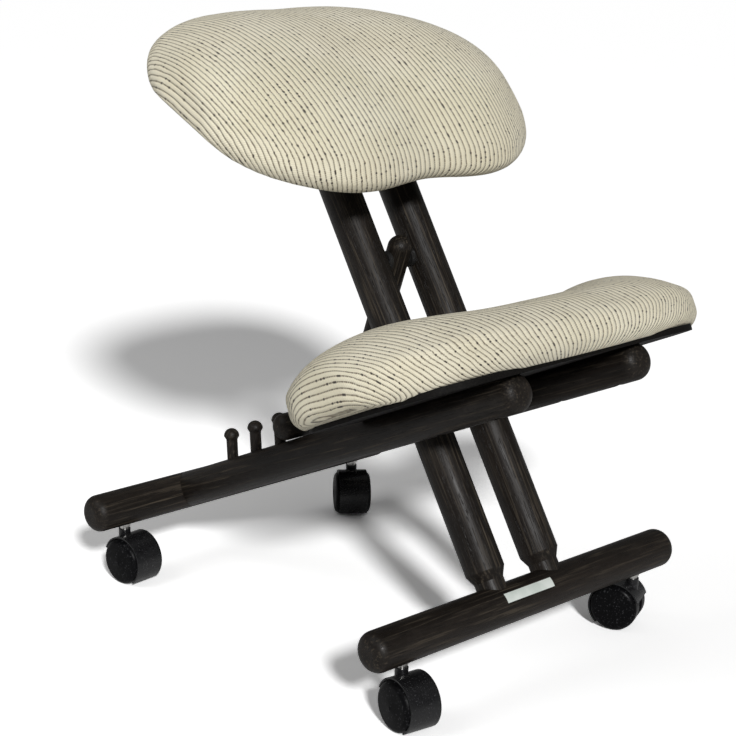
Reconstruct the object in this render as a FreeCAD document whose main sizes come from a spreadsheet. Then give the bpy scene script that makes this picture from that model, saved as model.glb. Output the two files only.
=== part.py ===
import FreeCAD, Part
import math
import os
import Sketcher

# Kneeling chair: two crossing frames of stained dowels on four twin-wheel casters.
# Millimetres, +Z up, +X to the right of someone who stands in front of it, -Y to the front.
# The origin is on the floor, below the middle of the chair.

os.makedirs("parts", exist_ok=True)
document = FreeCAD.newDocument("kneeling_chair")

# Driving dimensions: name, value, meaning
DIMENSIONS = [
    ("front_reach", 193.88, "origin to the front bar's axis, along the floor"),
    ("wheelbase", 438, "front bar's axis to rear bar's axis"),
    ("caster_height", 60.5, "floor to the underside of a bar"),
    ("bar_diameter", 40, "cross bars"),
    ("bar_length", 424, "cross bars, end to end"),
    ("bar_end_round", 12, "rounding of a bar's ends"),
    ("strut_diameter", 40, "seat struts"),
    ("strut_spacing", 77.4, "seat struts, axis to axis"),
    ("strut_tilt", 56.3, "seat struts, degrees above the floor"),
    ("strut_neck", 30, "turned-down foot of a seat strut"),
    ("strut_shoulder", 26, "front bar's axis to the start of the shoulder"),
    ("strut_taper", 10, "length of the shoulder's cone"),
    ("strut_tenon", 22, "tenon of a seat strut in the front bar"),
    ("tenon_past_axis", 9, "how far a tenon goes past the bar's axis"),
    ("seat_reach", 525, "front bar's axis to the seat board, along a strut"),
    ("seat_tilt", 22.6, "seat, degrees, front edge low"),
    ("rail_diameter", 37.5, "knee rails"),
    ("rail_spacing", 168, "knee rails, axis to axis"),
    ("rail_tilt", 26.1, "knee rails, degrees above the floor"),
    ("rail_length", 550, "rear bar's axis to the front end of a rail"),
    ("rail_end_round", 13, "rounding of a rail's front end"),
    ("rail_tenon", 20, "tenon of a rail in the rear bar"),
    ("rail_flat", 3.5, "depth of the flat that the knee board lies on"),
    ("pivot_rod_diameter", 10, "rod where the two frames cross"),
    ("prop_pin_diameter", 8, "pin at the top of the prop"),
    ("pin_blind", 20, "depth of a blind bore for a rod or pin"),
    ("spacer_wall", 6, "wall of the spacer rings"),
    ("prop_reach", 361, "front bar's axis to the prop's pin, along a strut"),
    ("prop_diameter", 25, "prop"),
    ("prop_head", 26, "prop's pin to its rounded top end"),
    ("prop_tenon", 14, "tenon of the prop in its foot"),
    ("foot_diameter", 28, "cross foot of the prop"),
    ("foot_length", 212, "cross foot of the prop, end to end"),
    ("foot_end_round", 11, "rounding of the foot's ends"),
    ("peg_first", 102, "rear bar's axis to the first peg, along a rail"),
    ("peg_pitch", 43.5, "peg to peg, along a rail"),
    ("peg_count", 3, "pegs on a rail"),
    ("peg_lean", 20, "pegs, degrees forward of square to the rail"),
    ("peg_neck", 12, "shank of a peg"),
    ("peg_head", 16.5, "domed head of a peg"),
    ("peg_neck_height", 20.5, "rail's top to the peg's head"),
    ("peg_flare", 4, "cone below the head"),
    ("peg_depth", 13, "peg's shank inside the rail"),
    ("seat_width", 409, "seat cushion"),
    ("seat_front_overhang", 48, "seat cushion's front edge past its board"),
    ("seat_rear_overhang", 46, "seat cushion's rear edge past its board"),
    ("seat_height", 80, "seat cushion, with its board"),
    ("seat_rim", 20, "height of the seat cushion's widest line"),
    ("seat_inset", 20, "how far the seat cushion draws in at its base"),
    ("seat_dent", 22, "hollow in the seat's front edge"),
    ("seat_dip", 5, "saddle of the seat's middle"),
    ("seat_board_width", 344, "seat board"),
    ("seat_board_depth", 236, "seat board"),
    ("seat_board_roundness", 0.46, "seat board's corner radius as a share of its depth"),
    ("seat_board_thickness", 10, "seat board"),
    ("knee_reach", 450, "rear bar's axis to the knee cushion's middle, along a rail"),
    ("knee_width", 470, "knee cushion"),
    ("knee_overhang", 23, "knee cushion's front and rear edges past its board"),
    ("knee_height", 80, "knee cushion, from its lower edge"),
    ("knee_rim", 28, "height of the knee cushion's widest line"),
    ("knee_inset", 20, "how far the knee cushion draws in at its base"),
    ("knee_dip", 16, "saddle of the knee cushion's middle"),
    ("notch_width", 136, "opening for the struts at the rear of the knee board"),
    ("notch_floor", 46, "knee cushion's middle to the bottom of the opening"),
    ("knee_board_width", 414, "knee board"),
    ("knee_board_depth", 224, "knee board"),
    ("knee_board_roundness", 0.38, "knee board's corner radius as a share of its depth"),
    ("knee_board_thickness", 6, "knee board"),
    ("knee_board_edge", 2.5, "how much of the knee board's edge shows below the cover"),
    ("board_notch_round", 30, "inner corners of the board's opening"),
    ("bolt_diameter", 6, "bolts of the boards"),
    ("bolt_head_diameter", 10, "bolt heads"),
    ("bolt_head_height", 6, "bolt heads"),
    ("bolt_key", 5, "hexagon socket across flats"),
    ("bolt_room", 0.4, "bolt hole wider than its bolt"),
    ("bolt_head_room", 2, "counterbore wider than the bolt head"),
    ("seat_grip", 13, "wood between bolt head and seat board"),
    ("seat_bolt_front", 15, "strut's axis to the front bolt, along the seat board"),
    ("seat_bolt_rear", 9, "strut's axis to the rear bolt, along the seat board"),
    ("knee_grip", 26, "wood between bolt head and knee board"),
    ("knee_bolt_rear", 432, "rear bar's axis to the rear knee bolt"),
    ("knee_bolt_front", 512, "rear bar's axis to the front knee bolt"),
    ("tee_nut_flange", 18, "tee nuts in the boards"),
    ("tee_nut_flange_thickness", 1.2, "tee nuts in the boards"),
    ("tee_nut_barrel", 8.4, "tee nuts in the boards"),
    ("label_length", 66, "bare label on the front bar"),
    ("label_arc", 28, "bare label, degrees around the bar"),
    ("label_thickness", 0.5, "bare label"),
    ("label_place", -10.5, "middle of the label to the right of the chair's middle"),
    ("label_rise", 45, "middle of the label, degrees above level"),
    ("caster_spacing", 334, "caster stem to caster stem along a bar"),
    ("caster_trail", 14, "stem's axis to the axle"),
    ("wheel_diameter", 50, "caster wheels"),
    ("wheel_width", 19, "caster wheels"),
    ("wheel_dome", 2.5, "crown of a wheel's outer face"),
    ("wheel_edge", 2, "rounding of the tread's inner edge"),
    ("wheel_shoulder", 6, "rounding between tread and outer face"),
    ("wheel_gap", 8, "between the two wheels of a caster"),
    ("web_room", 0.6, "between a wheel and the caster's middle web"),
    ("hood_room", 0.8, "between tread and hood"),
    ("hood_wall", 1.6, "caster hood"),
    ("hood_start", 20, "hood's edge at the stem side, degrees above level"),
    ("hood_span", 208, "hood's arc in degrees"),
    ("boss_diameter", 13, "caster's stem boss"),
    ("boss_top", 55.5, "floor to the top of the stem boss"),
    ("axle_diameter", 6, "caster axle"),
    ("axle_blind", 12, "axle's depth in a wheel"),
    ("stem_diameter", 10, "caster stem"),
    ("stem_in_boss", 5.5, "stem's depth in the boss"),
    ("stem_tail_diameter", 4, "riveted tail of the stem in the caster's web"),
    ("stem_tail", 10, "length of the stem's tail"),
    ("stem_in_bar", 26, "stem's length above the bar's underside"),
    ("socket_wall", 1.5, "steel sleeve for the stem"),
    ("socket_depth", 29, "sleeve's length in the bar"),
    ("socket_lip", 1.5, "sleeve's length below the bar"),
    ("running_clearance", 0.05, "radial clearance of pins and axles that turn"),
    ("touch_gap", 0.3, "between pieces of different frames that lie on each other"),
]

CASTERS = [
    ("front_left", -1, 0, -8),
    ("front_right", 1, 0, 204),
    ("rear_left", -1, 1, 6),
    ("rear_right", 1, 1, -36),
]

sheet = document.addObject("Spreadsheet::Sheet", "sizes")
SIZES = {}
for row, (name, value, meaning) in enumerate(DIMENSIONS, start=1):
    sheet.set("A%d" % row, name)
    sheet.set("B%d" % row, str(value))
    sheet.set("C%d" % row, meaning)
    sheet.setAlias("B%d" % row, name)
document.recompute()
for name, value, meaning in DIMENSIONS:
    SIZES[name] = float(sheet.get(name))

nodes = []
AXIS_X = FreeCAD.Vector(1, 0, 0)
AXIS_Y = FreeCAD.Vector(0, 1, 0)
AXIS_Z = FreeCAD.Vector(0, 0, 1)
SIDES = (-1, 1)
SIDE_NAMES = {-1: "left", 1: "right"}


def size(name):
    return SIZES[name]


def bound(item, **formulas):
    """Bind properties of an object to formulas of the sheet's values."""
    for key, formula in formulas.items():
        item.setExpression(key, formula)
    return item


def keep(item, name):
    """Make an object a sub-part of the chair."""
    item.Label = name
    nodes.append(item)
    return item


def side_view(forward_back, height, across=0.0):
    return FreeCAD.Vector(across, forward_back, height)


def along(angle, sign=1):
    """Unit direction in the side view, degrees above level, to the rear or the front."""
    turn = math.radians(angle)
    return FreeCAD.Vector(0, sign * math.cos(turn), math.sin(turn))


def stand(item, base, direction):
    """Put an object's own Z axis on a direction in the side view."""
    turn = math.degrees(math.atan2(-direction.y, direction.z))
    item.Placement = FreeCAD.Placement(base, FreeCAD.Rotation(AXIS_X, turn))
    return item


def cylinder(name, radius, height, base, direction):
    """Cylinder whose radius and height are formulas."""
    item = document.addObject("Part::Cylinder", name)
    bound(item, Radius=radius, Height=height)
    item.Placement = FreeCAD.Placement(base, FreeCAD.Rotation(AXIS_Z, direction))
    return item


def cone(name, low_radius, high_radius, height, base, direction):
    item = document.addObject("Part::Cone", name)
    bound(item, Radius1=low_radius, Radius2=high_radius, Height=height)
    item.Placement = FreeCAD.Placement(base, FreeCAD.Rotation(AXIS_Z, direction))
    return item


def dome(name, radius, centre, direction):
    """Half a ball that bulges along a direction."""
    item = document.addObject("Part::Sphere", name)
    bound(item, Radius=radius)
    item.Angle1 = 0
    item.Placement = FreeCAD.Placement(centre, FreeCAD.Rotation(AXIS_Z, direction))
    return item


def joined(name, items):
    item = document.addObject("Part::MultiFuse", name)
    item.Shapes = items
    return item


def grouped(name, items):
    item = document.addObject("Part::Compound", name)
    item.Links = items
    return item


def without(name, base, tools):
    item = document.addObject("Part::Cut", name)
    item.Base = base
    item.Tool = tools[0] if len(tools) == 1 else joined(name + "_tools", tools)
    return item


def rounded_ends(name, base, radius, centres):
    """Round the circular edges whose centres are given."""
    document.recompute()
    edges = []
    for number, edge in enumerate(base.Shape.Edges, start=1):
        circle = isinstance(edge.Curve, Part.Circle) and edge.Closed
        if circle and any(edge.Curve.Center.distanceToPoint(c) < 0.01 for c in centres):
            edges.append((number, size(radius), size(radius)))
    item = document.addObject("Part::Fillet", name)
    item.Base = base
    item.Edges = edges
    return item


def origin_plane(body, role):
    return next(item for item in body.Origin.OriginFeatures if item.Role == role)


def new_sketch(body, name, role):
    sketch = body.newObject("Sketcher::SketchObject", name)
    sketch.AttachmentSupport = [(origin_plane(body, role), "")]
    sketch.MapMode = "FlatFace"
    return sketch


def outline(body, name, role, corners):
    """Closed outline of straight lines; each corner is a pair of formulas."""
    sketch = new_sketch(body, name, role)
    count = len(corners)
    start = [(math.cos(2 * math.pi * i / count), math.sin(2 * math.pi * i / count)) for i in range(count)]
    for i in range(count):
        here = FreeCAD.Vector(start[i][0], start[i][1], 0)
        there = FreeCAD.Vector(start[(i + 1) % count][0], start[(i + 1) % count][1], 0)
        sketch.addGeometry(Part.LineSegment(here, there), False)
    for i in range(count):
        sketch.addConstraint(Sketcher.Constraint("Coincident", i, 2, (i + 1) % count, 1))
    for i, corner in enumerate(corners):
        for kind, formula, axis in (("DistanceX", corner[0], -2), ("DistanceY", corner[1], -1)):
            if formula == "0":
                sketch.addConstraint(Sketcher.Constraint("PointOnObject", i, 1, axis))
            else:
                index = sketch.addConstraint(Sketcher.Constraint(kind, -1, 1, i, 1, 1.0))
                sketch.setExpression("Constraints[%d]" % index, formula)
    return sketch


def padded(body, name, sketch, length, upward=True):
    pad = body.newObject("PartDesign::Pad", name)
    pad.Profile = sketch
    pad.Reversed = not upward
    pad.setExpression("Length", length)
    return pad


def turned(name, corners):
    """Body turned about its own Z axis; corners are (radius, height) formulas."""
    body = document.addObject("PartDesign::Body", name)
    sketch = outline(body, name + "_profile", "XZ_Plane", corners)
    turn = body.newObject("PartDesign::Revolution", name + "_turn")
    turn.Profile = sketch
    turn.ReferenceAxis = (sketch, ["V_Axis"])
    turn.Angle = 360
    return body


def softened(body, name, radius, chosen):
    """Fillet on the edges of the body's tip that pass a test."""
    document.recompute()
    tip = body.Tip
    edges = ["Edge%d" % n for n, edge in enumerate(tip.Shape.Edges, start=1) if chosen(edge)]
    fillet = body.newObject("PartDesign::Fillet", name)
    fillet.Base = (tip, edges)
    fillet.setExpression("Radius", radius)
    return fillet


# Key points of the two frames in the side view
bar_radius = size("bar_diameter") / 2
bar_level = size("caster_height") + bar_radius
front_axis = side_view(-size("front_reach"), bar_level)
rear_axis = side_view(size("wheelbase") - size("front_reach"), bar_level)
strut_way = along(size("strut_tilt"))
rail_way = along(size("rail_tilt"), -1)
rail_up = FreeCAD.Vector(0, rail_way.z, -rail_way.y)
seat_way = along(size("seat_tilt"))
seat_up = FreeCAD.Vector(0, -seat_way.z, seat_way.y)

crossing_angle = math.radians(180 - size("strut_tilt") - size("rail_tilt"))
rail_to_pivot = size("wheelbase") * math.sin(math.radians(size("strut_tilt"))) / math.sin(crossing_angle)
pivot = rear_axis + rail_way * rail_to_pivot
prop_pin_point = front_axis + strut_way * size("prop_reach")
seat_point = front_axis + strut_way * size("seat_reach")

strut_radius = size("strut_diameter") / 2
rail_radius = size("rail_diameter") / 2
foot_radius = size("foot_diameter") / 2


def across(point, offset):
    return FreeCAD.Vector(offset, point.y, point.z)


def rail_point(distance, height=0.0, offset=0.0):
    """Point by its distance along a rail's axis and its height square to it."""
    return across(rear_axis + rail_way * distance + rail_up * height, offset)


# Prop foot: it lies on the rails and leans on the head and shank of the last peg
last_peg = size("peg_first") + size("peg_pitch") * (size("peg_count") - 1)
peg_lean = math.radians(size("peg_lean"))
head_centre = size("peg_neck_height") + size("peg_flare")
foot_height = foot_radius + size("touch_gap")
head_reach = size("peg_head") / 2 + foot_radius + size("touch_gap")
head_drop = head_centre * math.cos(peg_lean) - foot_height
foot_by_head = head_centre * math.sin(peg_lean) + math.sqrt(head_reach ** 2 - head_drop ** 2)
shank_reach = (size("peg_neck") / 2 + foot_radius + size("touch_gap")) / math.cos(peg_lean)
foot_by_shank = foot_height * math.tan(peg_lean) + shank_reach
foot_distance = last_peg + max(foot_by_head, foot_by_shank)
foot_point = rail_point(foot_distance, rail_radius + foot_height)
prop_span = foot_point - prop_pin_point
prop_way = FreeCAD.Vector(prop_span).normalize()


def cross_bar(name, axis_point):
    """Round cross bar with rounded ends, before its holes."""
    start = across(axis_point, -size("bar_length") / 2)
    end = across(axis_point, size("bar_length") / 2)
    bar = cylinder(name + "_round", "sizes.bar_diameter / 2", "sizes.bar_length", start, AXIS_X)
    return rounded_ends(name + "_blank", bar, "bar_end_round", [start, end])


def socket_hole(name, axis_point, side):
    base = across(axis_point, side * size("caster_spacing") / 2)
    base.z = size("caster_height") - size("socket_lip")
    return cylinder(name, "sizes.stem_diameter / 2 + sizes.running_clearance + sizes.socket_wall",
                    "sizes.socket_depth + sizes.socket_lip", base, AXIS_Z)


def sockets(name, axis_point):
    """Steel sleeves in a bar for the caster stems."""
    sleeves = []
    for side in SIDES:
        label = name + "_" + SIDE_NAMES[side]
        outer = socket_hole(label + "_outer", axis_point, side)
        base = across(axis_point, side * size("caster_spacing") / 2)
        base.z = size("caster_height") - size("socket_lip")
        inner = cylinder(label + "_bore", "sizes.stem_diameter / 2 + sizes.running_clearance",
                         "sizes.socket_depth + sizes.socket_lip - sizes.socket_wall", base, AXIS_Z)
        sleeves.append(without(label, outer, [inner]))
    keep(grouped(name, sleeves), name)


# Front bar with the mortises of the struts and the holes of the caster sockets
def front_bar():
    tools = []
    for side in SIDES:
        base = across(front_axis, side * size("strut_spacing") / 2) - strut_way * size("tenon_past_axis")
        tools.append(cylinder("front_mortise_" + SIDE_NAMES[side], "sizes.strut_tenon / 2",
                              "sizes.bar_diameter", base, strut_way))
        tools.append(socket_hole("front_socket_hole_" + SIDE_NAMES[side], front_axis, side))
    keep(without("front_bar", cross_bar("front_bar", front_axis), tools), "front_bar")


def rear_bar():
    tools = []
    for side in SIDES:
        base = across(rear_axis, side * size("rail_spacing") / 2) - rail_way * size("tenon_past_axis")
        tools.append(cylinder("rear_mortise_" + SIDE_NAMES[side], "sizes.rail_tenon / 2",
                              "sizes.bar_diameter", base, rail_way))
        tools.append(socket_hole("rear_socket_hole_" + SIDE_NAMES[side], rear_axis, side))
    keep(without("rear_bar", cross_bar("rear_bar", rear_axis), tools), "rear_bar")


def seat_bolt_points(side):
    """Where the bolts of one strut meet the underside of the seat board."""
    offset = side * size("strut_spacing") / 2
    shifts = (-size("seat_bolt_front"), size("seat_bolt_rear"))
    return [across(seat_point + seat_way * shift, offset) for shift in shifts]


def knee_bolt_points(side):
    """Where the bolts of one rail meet the underside of the knee board."""
    offset = side * size("rail_spacing") / 2
    distances = (size("knee_bolt_rear"), size("knee_bolt_front"))
    return [rail_point(distance, rail_radius - size("rail_flat"), offset) for distance in distances]


def bolt_holes(label, points, up, grip, reach):
    """Clearance hole and counterbore for each bolt that comes from below."""
    tools = []
    for number, point in enumerate(points, start=1):
        low = point - up * size(grip)
        tools.append(cylinder("%s_hole_%d" % (label, number), "(sizes.bolt_diameter + sizes.bolt_room) / 2",
                              "2 * sizes.%s" % grip, low, up))
        deep = low - up * size(reach)
        tools.append(cylinder("%s_bore_%d" % (label, number),
                              "(sizes.bolt_head_diameter + sizes.bolt_head_room) / 2",
                              "sizes.%s" % reach, deep, up))
    return tools


# Seat strut: turned foot coped on the front bar with a tenon inside it, cut off flat under the seat board
def seat_strut(side):
    name = "seat_strut_" + SIDE_NAMES[side]
    offset = side * size("strut_spacing") / 2
    body = turned(name + "_dowel", [
        ("0", "0"),
        ("sizes.strut_neck / 2", "0"),
        ("sizes.strut_neck / 2", "sizes.strut_shoulder"),
        ("sizes.strut_diameter / 2", "sizes.strut_shoulder + sizes.strut_taper"),
        ("sizes.strut_diameter / 2", "sizes.seat_reach + sizes.strut_diameter"),
        ("0", "sizes.seat_reach + sizes.strut_diameter"),
    ])
    stand(body, across(front_axis, offset), strut_way)
    seat_on_bar = cylinder(name + "_cope", "sizes.bar_diameter / 2", "2 * sizes.strut_diameter",
                           across(front_axis, offset - size("strut_diameter")), AXIS_X)
    tenon = cylinder(name + "_tenon", "sizes.strut_tenon / 2", "sizes.tenon_past_axis + sizes.strut_shoulder",
                     across(front_axis, offset) - strut_way * size("tenon_past_axis"), strut_way)
    body = joined(name + "_blank", [without(name + "_coped", body, [seat_on_bar]), tenon])
    above = document.addObject("Part::Box", name + "_above_board")
    bound(above, Length="2 * sizes.strut_diameter", Width="4 * sizes.strut_diameter",
          Height="2 * sizes.strut_diameter")
    corner = across(seat_point - seat_way * 2 * size("strut_diameter"), offset - size("strut_diameter"))
    above.Placement = FreeCAD.Placement(corner, FreeCAD.Rotation(AXIS_X, size("seat_tilt")))
    pivot_hole = cylinder(name + "_pivot_bore", "sizes.pivot_rod_diameter / 2 + sizes.running_clearance",
                          "2 * sizes.strut_diameter", across(pivot, offset - size("strut_diameter")), AXIS_X)
    inner_face = offset - side * strut_radius
    pin_end = inner_face + side * size("pin_blind")
    pin_hole = cylinder(name + "_pin_bore", "sizes.prop_pin_diameter / 2", "2 * sizes.pin_blind",
                        across(prop_pin_point, min(pin_end, pin_end - side * 2 * size("pin_blind"))), AXIS_X)
    tools = [above, pivot_hole, pin_hole]
    tools += bolt_holes(name, seat_bolt_points(side), seat_up, "seat_grip", "strut_diameter")
    keep(without(name, body, tools), name)


# Knee rail: coped on the rear bar with a tenon inside it, rounded at the front
def knee_rail(side):
    name = "knee_rail_" + SIDE_NAMES[side]
    offset = side * size("rail_spacing") / 2
    start = across(rear_axis, offset)
    end = rail_point(size("rail_length"), 0, offset)
    dowel = cylinder(name + "_dowel", "sizes.rail_diameter / 2", "sizes.rail_length", start, rail_way)
    blank = rounded_ends(name + "_blank", dowel, "rail_end_round", [end])
    cope = cylinder(name + "_cope", "sizes.bar_diameter / 2", "sizes.bar_length",
                    across(rear_axis, -size("bar_length") / 2), AXIS_X)
    coped = without(name + "_coped", blank, [cope])
    tenon = cylinder(name + "_tenon", "sizes.rail_tenon / 2", "sizes.bar_diameter",
                     start - rail_way * size("tenon_past_axis"), rail_way)
    whole = joined(name + "_whole", [coped, tenon])
    flat = document.addObject("Part::Box", name + "_flat")
    bound(flat, Length="sizes.rail_diameter", Width="2 * sizes.knee_board_depth", Height="sizes.rail_diameter")
    rear_edge = size("knee_reach") - size("knee_board_depth") / 2
    corner = rail_point(rear_edge + 2 * size("knee_board_depth"), rail_radius - size("rail_flat"),
                        offset - rail_radius)
    flat.Placement = FreeCAD.Placement(corner, FreeCAD.Rotation(AXIS_X, -size("rail_tilt")))
    inner_face = offset - side * rail_radius
    rod_end = inner_face + side * size("pin_blind")
    rod_hole = cylinder(name + "_rod_bore", "sizes.pivot_rod_diameter / 2", "2 * sizes.pin_blind",
                        across(pivot, min(rod_end, rod_end - side * 2 * size("pin_blind"))), AXIS_X)
    tools = [flat, rod_hole]
    for number in range(int(size("peg_count"))):
        tools.append(peg_shank("%s_peg_hole_%d" % (name, number + 1), number, side))
    tools += bolt_holes(name, knee_bolt_points(side), rail_up, "knee_grip", "rail_diameter")
    keep(without(name, whole, tools), name)


peg_way = rail_up * math.cos(peg_lean) + rail_way * math.sin(peg_lean)


def peg_base(number, side):
    distance = size("peg_first") + size("peg_pitch") * number
    return rail_point(distance, rail_radius, side * size("rail_spacing") / 2)


def peg_shank(name, number, side):
    base = peg_base(number, side) - peg_way * size("peg_depth")
    return cylinder(name, "sizes.peg_neck / 2", "sizes.peg_depth + sizes.peg_neck_height", base, peg_way)


# Turned pegs that stop the prop's foot: shank, flare and domed head
def pegs(side):
    name = "prop_pegs_" + SIDE_NAMES[side]
    made = []
    for number in range(int(size("peg_count"))):
        label = "%s_%d" % (name, number + 1)
        shank = peg_shank(label + "_shank", number, side)
        flare_base = peg_base(number, side) + peg_way * size("peg_neck_height")
        flare = cone(label + "_flare", "sizes.peg_neck / 2", "sizes.peg_head / 2", "sizes.peg_flare",
                     flare_base, peg_way)
        head = dome(label + "_head", "sizes.peg_head / 2", flare_base + peg_way * size("peg_flare"), peg_way)
        made.append(joined(label, [shank, flare, head]))
    keep(grouped(name, made), name)


def cross_pin(name, radius, half_span, point):
    base = across(point, -half_span)
    item = document.addObject("Part::Cylinder", name)
    bound(item, Radius=radius[0], Height=radius[1])
    item.Placement = FreeCAD.Placement(base, FreeCAD.Rotation(AXIS_Z, AXIS_X))
    keep(item, name)


def spacer_rings(name, bore, inner, outer, room, point):
    """A ring on each side that fills the gap between two pieces on one pin."""
    rings = []
    for side in SIDES:
        label = name + "_" + SIDE_NAMES[side]
        low = min(side * (inner + room), side * (outer - room))
        wide = document.addObject("Part::Cylinder", label + "_outer")
        bound(wide, Radius=bore + " + sizes.spacer_wall")
        wide.Height = outer - inner - 2 * room
        wide.Placement = FreeCAD.Placement(across(point, low), FreeCAD.Rotation(AXIS_Z, AXIS_X))
        hole = cylinder(label + "_bore", bore, "sizes.strut_diameter", across(point, low), AXIS_X)
        rings.append(without(label, wide, [hole]))
    keep(grouped(name, rings), name)


# Rod where the frames cross, held in the rails; the struts turn on it
def crossing():
    rail_inner = (size("rail_spacing") - size("rail_diameter")) / 2
    strut_outer = (size("strut_spacing") + size("strut_diameter")) / 2
    reach = rail_inner + size("pin_blind")
    span = "sizes.rail_spacing - sizes.rail_diameter + 2 * sizes.pin_blind"
    cross_pin("pivot_rod", ("sizes.pivot_rod_diameter / 2", span), reach, pivot)
    spacer_rings("pivot_spacers", "sizes.pivot_rod_diameter / 2", strut_outer, rail_inner,
                 size("touch_gap"), pivot)


# Prop: round-topped dowel on a pin between the struts, with a cross foot
def prop():
    strut_inner = (size("strut_spacing") - size("strut_diameter")) / 2
    reach = strut_inner + size("pin_blind")
    span = "sizes.strut_spacing - sizes.strut_diameter + 2 * sizes.pin_blind"
    cross_pin("prop_pin", ("sizes.prop_pin_diameter / 2", span), reach, prop_pin_point)
    spacer_rings("prop_spacers", "sizes.prop_pin_diameter / 2", size("prop_diameter") / 2, strut_inner,
                 size("touch_gap"), prop_pin_point)

    top = prop_pin_point - prop_way * (size("prop_head") - size("prop_diameter") / 2)
    shaft = document.addObject("Part::Cylinder", "prop_shaft")
    bound(shaft, Radius="sizes.prop_diameter / 2")
    shaft.Height = prop_span.Length + size("prop_head") - size("prop_diameter") / 2
    shaft.Placement = FreeCAD.Placement(top, FreeCAD.Rotation(AXIS_Z, prop_way))
    cap = dome("prop_cap", "sizes.prop_diameter / 2", top, prop_way * -1)
    whole = joined("prop_whole", [shaft, cap])
    foot_start = across(foot_point, -size("foot_length") / 2)
    cope = cylinder("prop_cope", "sizes.foot_diameter / 2", "sizes.foot_length", foot_start, AXIS_X)
    bore = cylinder("prop_bore", "sizes.prop_pin_diameter / 2 + sizes.running_clearance",
                    "2 * sizes.prop_diameter", across(prop_pin_point, -size("prop_diameter")), AXIS_X)
    coped = without("prop_coped", whole, [cope, bore])
    tenon_base = foot_point + prop_way * size("prop_tenon") / 2
    tenon = cylinder("prop_tenon_round", "sizes.prop_tenon / 2", "sizes.foot_diameter",
                     tenon_base, prop_way * -1)
    keep(joined("prop_strut", [coped, tenon]), "prop_strut")

    foot_end = across(foot_point, size("foot_length") / 2)
    foot = cylinder("prop_foot_round", "sizes.foot_diameter / 2", "sizes.foot_length", foot_start, AXIS_X)
    blank = rounded_ends("prop_foot_blank", foot, "foot_end_round", [foot_start, foot_end])
    mortise = cylinder("prop_mortise", "sizes.prop_tenon / 2", "sizes.foot_diameter", tenon_base, prop_way * -1)
    keep(without("prop_foot", blank, [mortise]), "prop_foot")


def board(name, width, depth, thickness, corner):
    """Plywood board with round corners, its underside in its own XY plane."""
    body = document.addObject("PartDesign::Body", name + "_panel")
    half_width = "sizes.%s / 2" % width
    half_depth = "sizes.%s / 2" % depth
    sketch = outline(body, name + "_outline", "XY_Plane", [
        ("-" + half_width, "-" + half_depth),
        (half_width, "-" + half_depth),
        (half_width, half_depth),
        ("-" + half_width, half_depth),
    ])
    padded(body, name + "_pad", sketch, "sizes." + thickness)
    softened(body, name + "_corners", "sizes.%s * sizes.%s" % (depth, corner), upright)
    return body


def upright(edge):
    ends = [vertex.Point for vertex in edge.Vertexes]
    if len(ends) != 2:
        return False
    rise = ends[1] - ends[0]
    return abs(rise.z) > 0.99 * rise.Length


def board_holes(label, points, up, thickness):
    """Holes for the tee nuts: barrel through the board, flange sunk in its top."""
    tools = []
    for number, point in enumerate(points, start=1):
        tools.append(cylinder("%s_barrel_%d" % (label, number), "sizes.tee_nut_barrel / 2",
                              "sizes." + thickness, point, up))
        sunk = point + up * (size(thickness) - size("tee_nut_flange_thickness"))
        tools.append(cylinder("%s_flange_%d" % (label, number), "sizes.tee_nut_flange / 2",
                              "2 * sizes.tee_nut_flange_thickness", sunk, up))
    return tools


def tee_nuts(name, points, up, thickness):
    made = []
    for number, point in enumerate(points, start=1):
        label = "%s_%d" % (name, number)
        barrel = cylinder(label + "_barrel", "sizes.tee_nut_barrel / 2", "sizes." + thickness, point, up)
        sunk = point + up * (size(thickness) - size("tee_nut_flange_thickness"))
        flange = cylinder(label + "_flange", "sizes.tee_nut_flange / 2", "sizes.tee_nut_flange_thickness",
                          sunk, up)
        whole = joined(label + "_whole", [barrel, flange])
        bore = cylinder(label + "_bore", "sizes.bolt_diameter / 2 + sizes.running_clearance",
                        "2 * sizes." + thickness, point - up * size(thickness) / 2, up)
        made.append(without(label, whole, [bore]))
    keep(grouped(name, made), name)


def bolts(name, points, up, grip, thickness):
    """Socket head bolts from below into the tee nuts."""
    made = []
    for number, point in enumerate(points, start=1):
        label = "%s_%d" % (name, number)
        seat = point - up * size(grip)
        shank = cylinder(label + "_shank", "sizes.bolt_diameter / 2",
                         "sizes.%s + sizes.%s - sizes.tee_nut_flange_thickness" % (grip, thickness), seat, up)
        head = cylinder(label + "_head", "sizes.bolt_head_diameter / 2", "sizes.bolt_head_height",
                        seat - up * size("bolt_head_height"), up)
        key = document.addObject("Part::Prism", label + "_key")
        key.Polygon = 6
        bound(key, Circumradius="sizes.bolt_key / 2 / cos(30 deg)", Height="sizes.bolt_head_height / 2")
        key.Placement = FreeCAD.Placement(seat - up * size("bolt_head_height"), FreeCAD.Rotation(AXIS_Z, up))
        made.append(without(label, joined(label + "_whole", [shank, head]), [key]))
    keep(grouped(name, made), name)


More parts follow.
